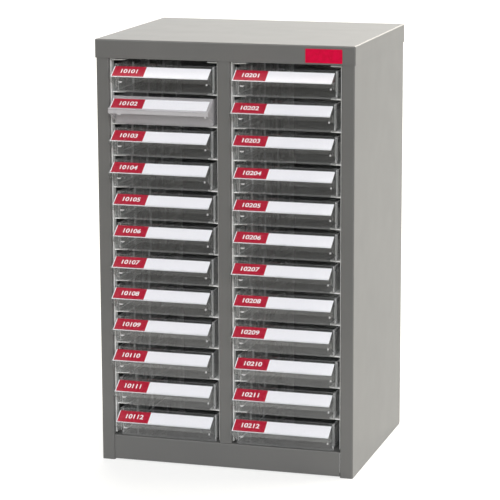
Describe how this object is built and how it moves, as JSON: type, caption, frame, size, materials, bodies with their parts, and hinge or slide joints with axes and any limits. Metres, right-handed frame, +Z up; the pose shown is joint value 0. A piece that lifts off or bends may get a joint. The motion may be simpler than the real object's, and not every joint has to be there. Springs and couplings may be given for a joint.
{
  "type": "parts bin cabinet",
  "caption": "Tall desktop steel cabinet with two columns of clear drawers, each with a sloped label plate; the drawers slide out to hold small parts.",
  "frame": {"origin": "on the table, under the middle of the whole object's length and width", "axes": "+Z up, +X to the right as seen from the front; the drawers open towards -Y"},
  "size_m": [0.277, 0.2362, 0.45],
  "materials": {
    "painted_steel": "satin",
    "runner_zinc": "satin",
    "clear_plastic": "gloss",
    "card_paper": "matte",
    "badge_red": "gloss",
    "rivet_aluminium": "satin"
  },
  "bodies": {
    "cabinet": {"lid": "painted_steel", "left_side_panel": "painted_steel", "right_side_panel": "painted_steel", "back_panel": "painted_steel", "base_pan": "painted_steel", "centre_post": "painted_steel", "left_column_left_runner": "runner_zinc", "left_column_right_runner": "runner_zinc", "right_column_left_runner": "runner_zinc", "right_column_right_runner": "runner_zinc", "badge_plate": "badge_red", "back_rivets": "rivet_aluminium"},
    "drawer_left_01": {"tray_left_01": "clear_plastic", "card_left_01": "card_paper"},
    "drawer_left_02": {"tray_left_02": "clear_plastic", "card_left_02": "card_paper"},
    "drawer_left_03": {"tray_left_03": "clear_plastic", "card_left_03": "card_paper"},
    "drawer_left_04": {"tray_left_04": "clear_plastic", "card_left_04": "card_paper"},
    "drawer_left_05": {"tray_left_05": "clear_plastic", "card_left_05": "card_paper"},
    "drawer_left_06": {"tray_left_06": "clear_plastic", "card_left_06": "card_paper"},
    "drawer_left_07": {"tray_left_07": "clear_plastic", "card_left_07": "card_paper"},
    "drawer_left_08": {"tray_left_08": "clear_plastic", "card_left_08": "card_paper"},
    "drawer_left_09": {"tray_left_09": "clear_plastic", "card_left_09": "card_paper"},
    "drawer_left_10": {"tray_left_10": "clear_plastic", "card_left_10": "card_paper"},
    "drawer_left_11": {"tray_left_11": "clear_plastic", "card_left_11": "card_paper"},
    "drawer_left_12": {"tray_left_12": "clear_plastic", "card_left_12": "card_paper"},
    "drawer_right_01": {"tray_right_01": "clear_plastic", "card_right_01": "card_paper"},
    "drawer_right_02": {"tray_right_02": "clear_plastic", "card_right_02": "card_paper"},
    "drawer_right_03": {"tray_right_03": "clear_plastic", "card_right_03": "card_paper"},
    "drawer_right_04": {"tray_right_04": "clear_plastic", "card_right_04": "card_paper"},
    "drawer_right_05": {"tray_right_05": "clear_plastic", "card_right_05": "card_paper"},
    "drawer_right_06": {"tray_right_06": "clear_plastic", "card_right_06": "card_paper"},
    "drawer_right_07": {"tray_right_07": "clear_plastic", "card_right_07": "card_paper"},
    "drawer_right_08": {"tray_right_08": "clear_plastic", "card_right_08": "card_paper"},
    "drawer_right_09": {"tray_right_09": "clear_plastic", "card_right_09": "card_paper"},
    "drawer_right_10": {"tray_right_10": "clear_plastic", "card_right_10": "card_paper"},
    "drawer_right_11": {"tray_right_11": "clear_plastic", "card_right_11": "card_paper"},
    "drawer_right_12": {"tray_right_12": "clear_plastic", "card_right_12": "card_paper"}
  },
  "joints": [
    {"name": "drawer_left_01_slide", "type": "slide", "parent": "cabinet", "child": "drawer_left_01", "axis": [0, -1, 0], "range_m": [0, 0.15]},
    {"name": "drawer_left_02_slide", "type": "slide", "parent": "cabinet", "child": "drawer_left_02", "axis": [0, -1, 0], "range_m": [0, 0.15]},
    {"name": "drawer_left_03_slide", "type": "slide", "parent": "cabinet", "child": "drawer_left_03", "axis": [0, -1, 0], "range_m": [0, 0.15]},
    {"name": "drawer_left_04_slide", "type": "slide", "parent": "cabinet", "child": "drawer_left_04", "axis": [0, -1, 0], "range_m": [0, 0.15]},
    {"name": "drawer_left_05_slide", "type": "slide", "parent": "cabinet", "child": "drawer_left_05", "axis": [0, -1, 0], "range_m": [0, 0.15]},
    {"name": "drawer_left_06_slide", "type": "slide", "parent": "cabinet", "child": "drawer_left_06", "axis": [0, -1, 0], "range_m": [0, 0.15]},
    {"name": "drawer_left_07_slide", "type": "slide", "parent": "cabinet", "child": "drawer_left_07", "axis": [0, -1, 0], "range_m": [0, 0.15]},
    {"name": "drawer_left_08_slide", "type": "slide", "parent": "cabinet", "child": "drawer_left_08", "axis": [0, -1, 0], "range_m": [0, 0.15]},
    {"name": "drawer_left_09_slide", "type": "slide", "parent": "cabinet", "child": "drawer_left_09", "axis": [0, -1, 0], "range_m": [0, 0.15]},
    {"name": "drawer_left_10_slide", "type": "slide", "parent": "cabinet", "child": "drawer_left_10", "axis": [0, -1, 0], "range_m": [0, 0.15]},
    {"name": "drawer_left_11_slide", "type": "slide", "parent": "cabinet", "child": "drawer_left_11", "axis": [0, -1, 0], "range_m": [0, 0.15]},
    {"name": "drawer_left_12_slide", "type": "slide", "parent": "cabinet", "child": "drawer_left_12", "axis": [0, -1, 0], "range_m": [0, 0.15]},
    {"name": "drawer_right_01_slide", "type": "slide", "parent": "cabinet", "child": "drawer_right_01", "axis": [0, -1, 0], "range_m": [0, 0.15]},
    {"name": "drawer_right_02_slide", "type": "slide", "parent": "cabinet", "child": "drawer_right_02", "axis": [0, -1, 0], "range_m": [0, 0.15]},
    {"name": "drawer_right_03_slide", "type": "slide", "parent": "cabinet", "child": "drawer_right_03", "axis": [0, -1, 0], "range_m": [0, 0.15]},
    {"name": "drawer_right_04_slide", "type": "slide", "parent": "cabinet", "child": "drawer_right_04", "axis": [0, -1, 0], "range_m": [0, 0.15]},
    {"name": "drawer_right_05_slide", "type": "slide", "parent": "cabinet", "child": "drawer_right_05", "axis": [0, -1, 0], "range_m": [0, 0.15]},
    {"name": "drawer_right_06_slide", "type": "slide", "parent": "cabinet", "child": "drawer_right_06", "axis": [0, -1, 0], "range_m": [0, 0.15]},
    {"name": "drawer_right_07_slide", "type": "slide", "parent": "cabinet", "child": "drawer_right_07", "axis": [0, -1, 0], "range_m": [0, 0.15]},
    {"name": "drawer_right_08_slide", "type": "slide", "parent": "cabinet", "child": "drawer_right_08", "axis": [0, -1, 0], "range_m": [0, 0.15]},
    {"name": "drawer_right_09_slide", "type": "slide", "parent": "cabinet", "child": "drawer_right_09", "axis": [0, -1, 0], "range_m": [0, 0.15]},
    {"name": "drawer_right_10_slide", "type": "slide", "parent": "cabinet", "child": "drawer_right_10", "axis": [0, -1, 0], "range_m": [0, 0.15]},
    {"name": "drawer_right_11_slide", "type": "slide", "parent": "cabinet", "child": "drawer_right_11", "axis": [0, -1, 0], "range_m": [0, 0.15]},
    {"name": "drawer_right_12_slide", "type": "slide", "parent": "cabinet", "child": "drawer_right_12", "axis": [0, -1, 0], "range_m": [0, 0.15]}
  ]
}
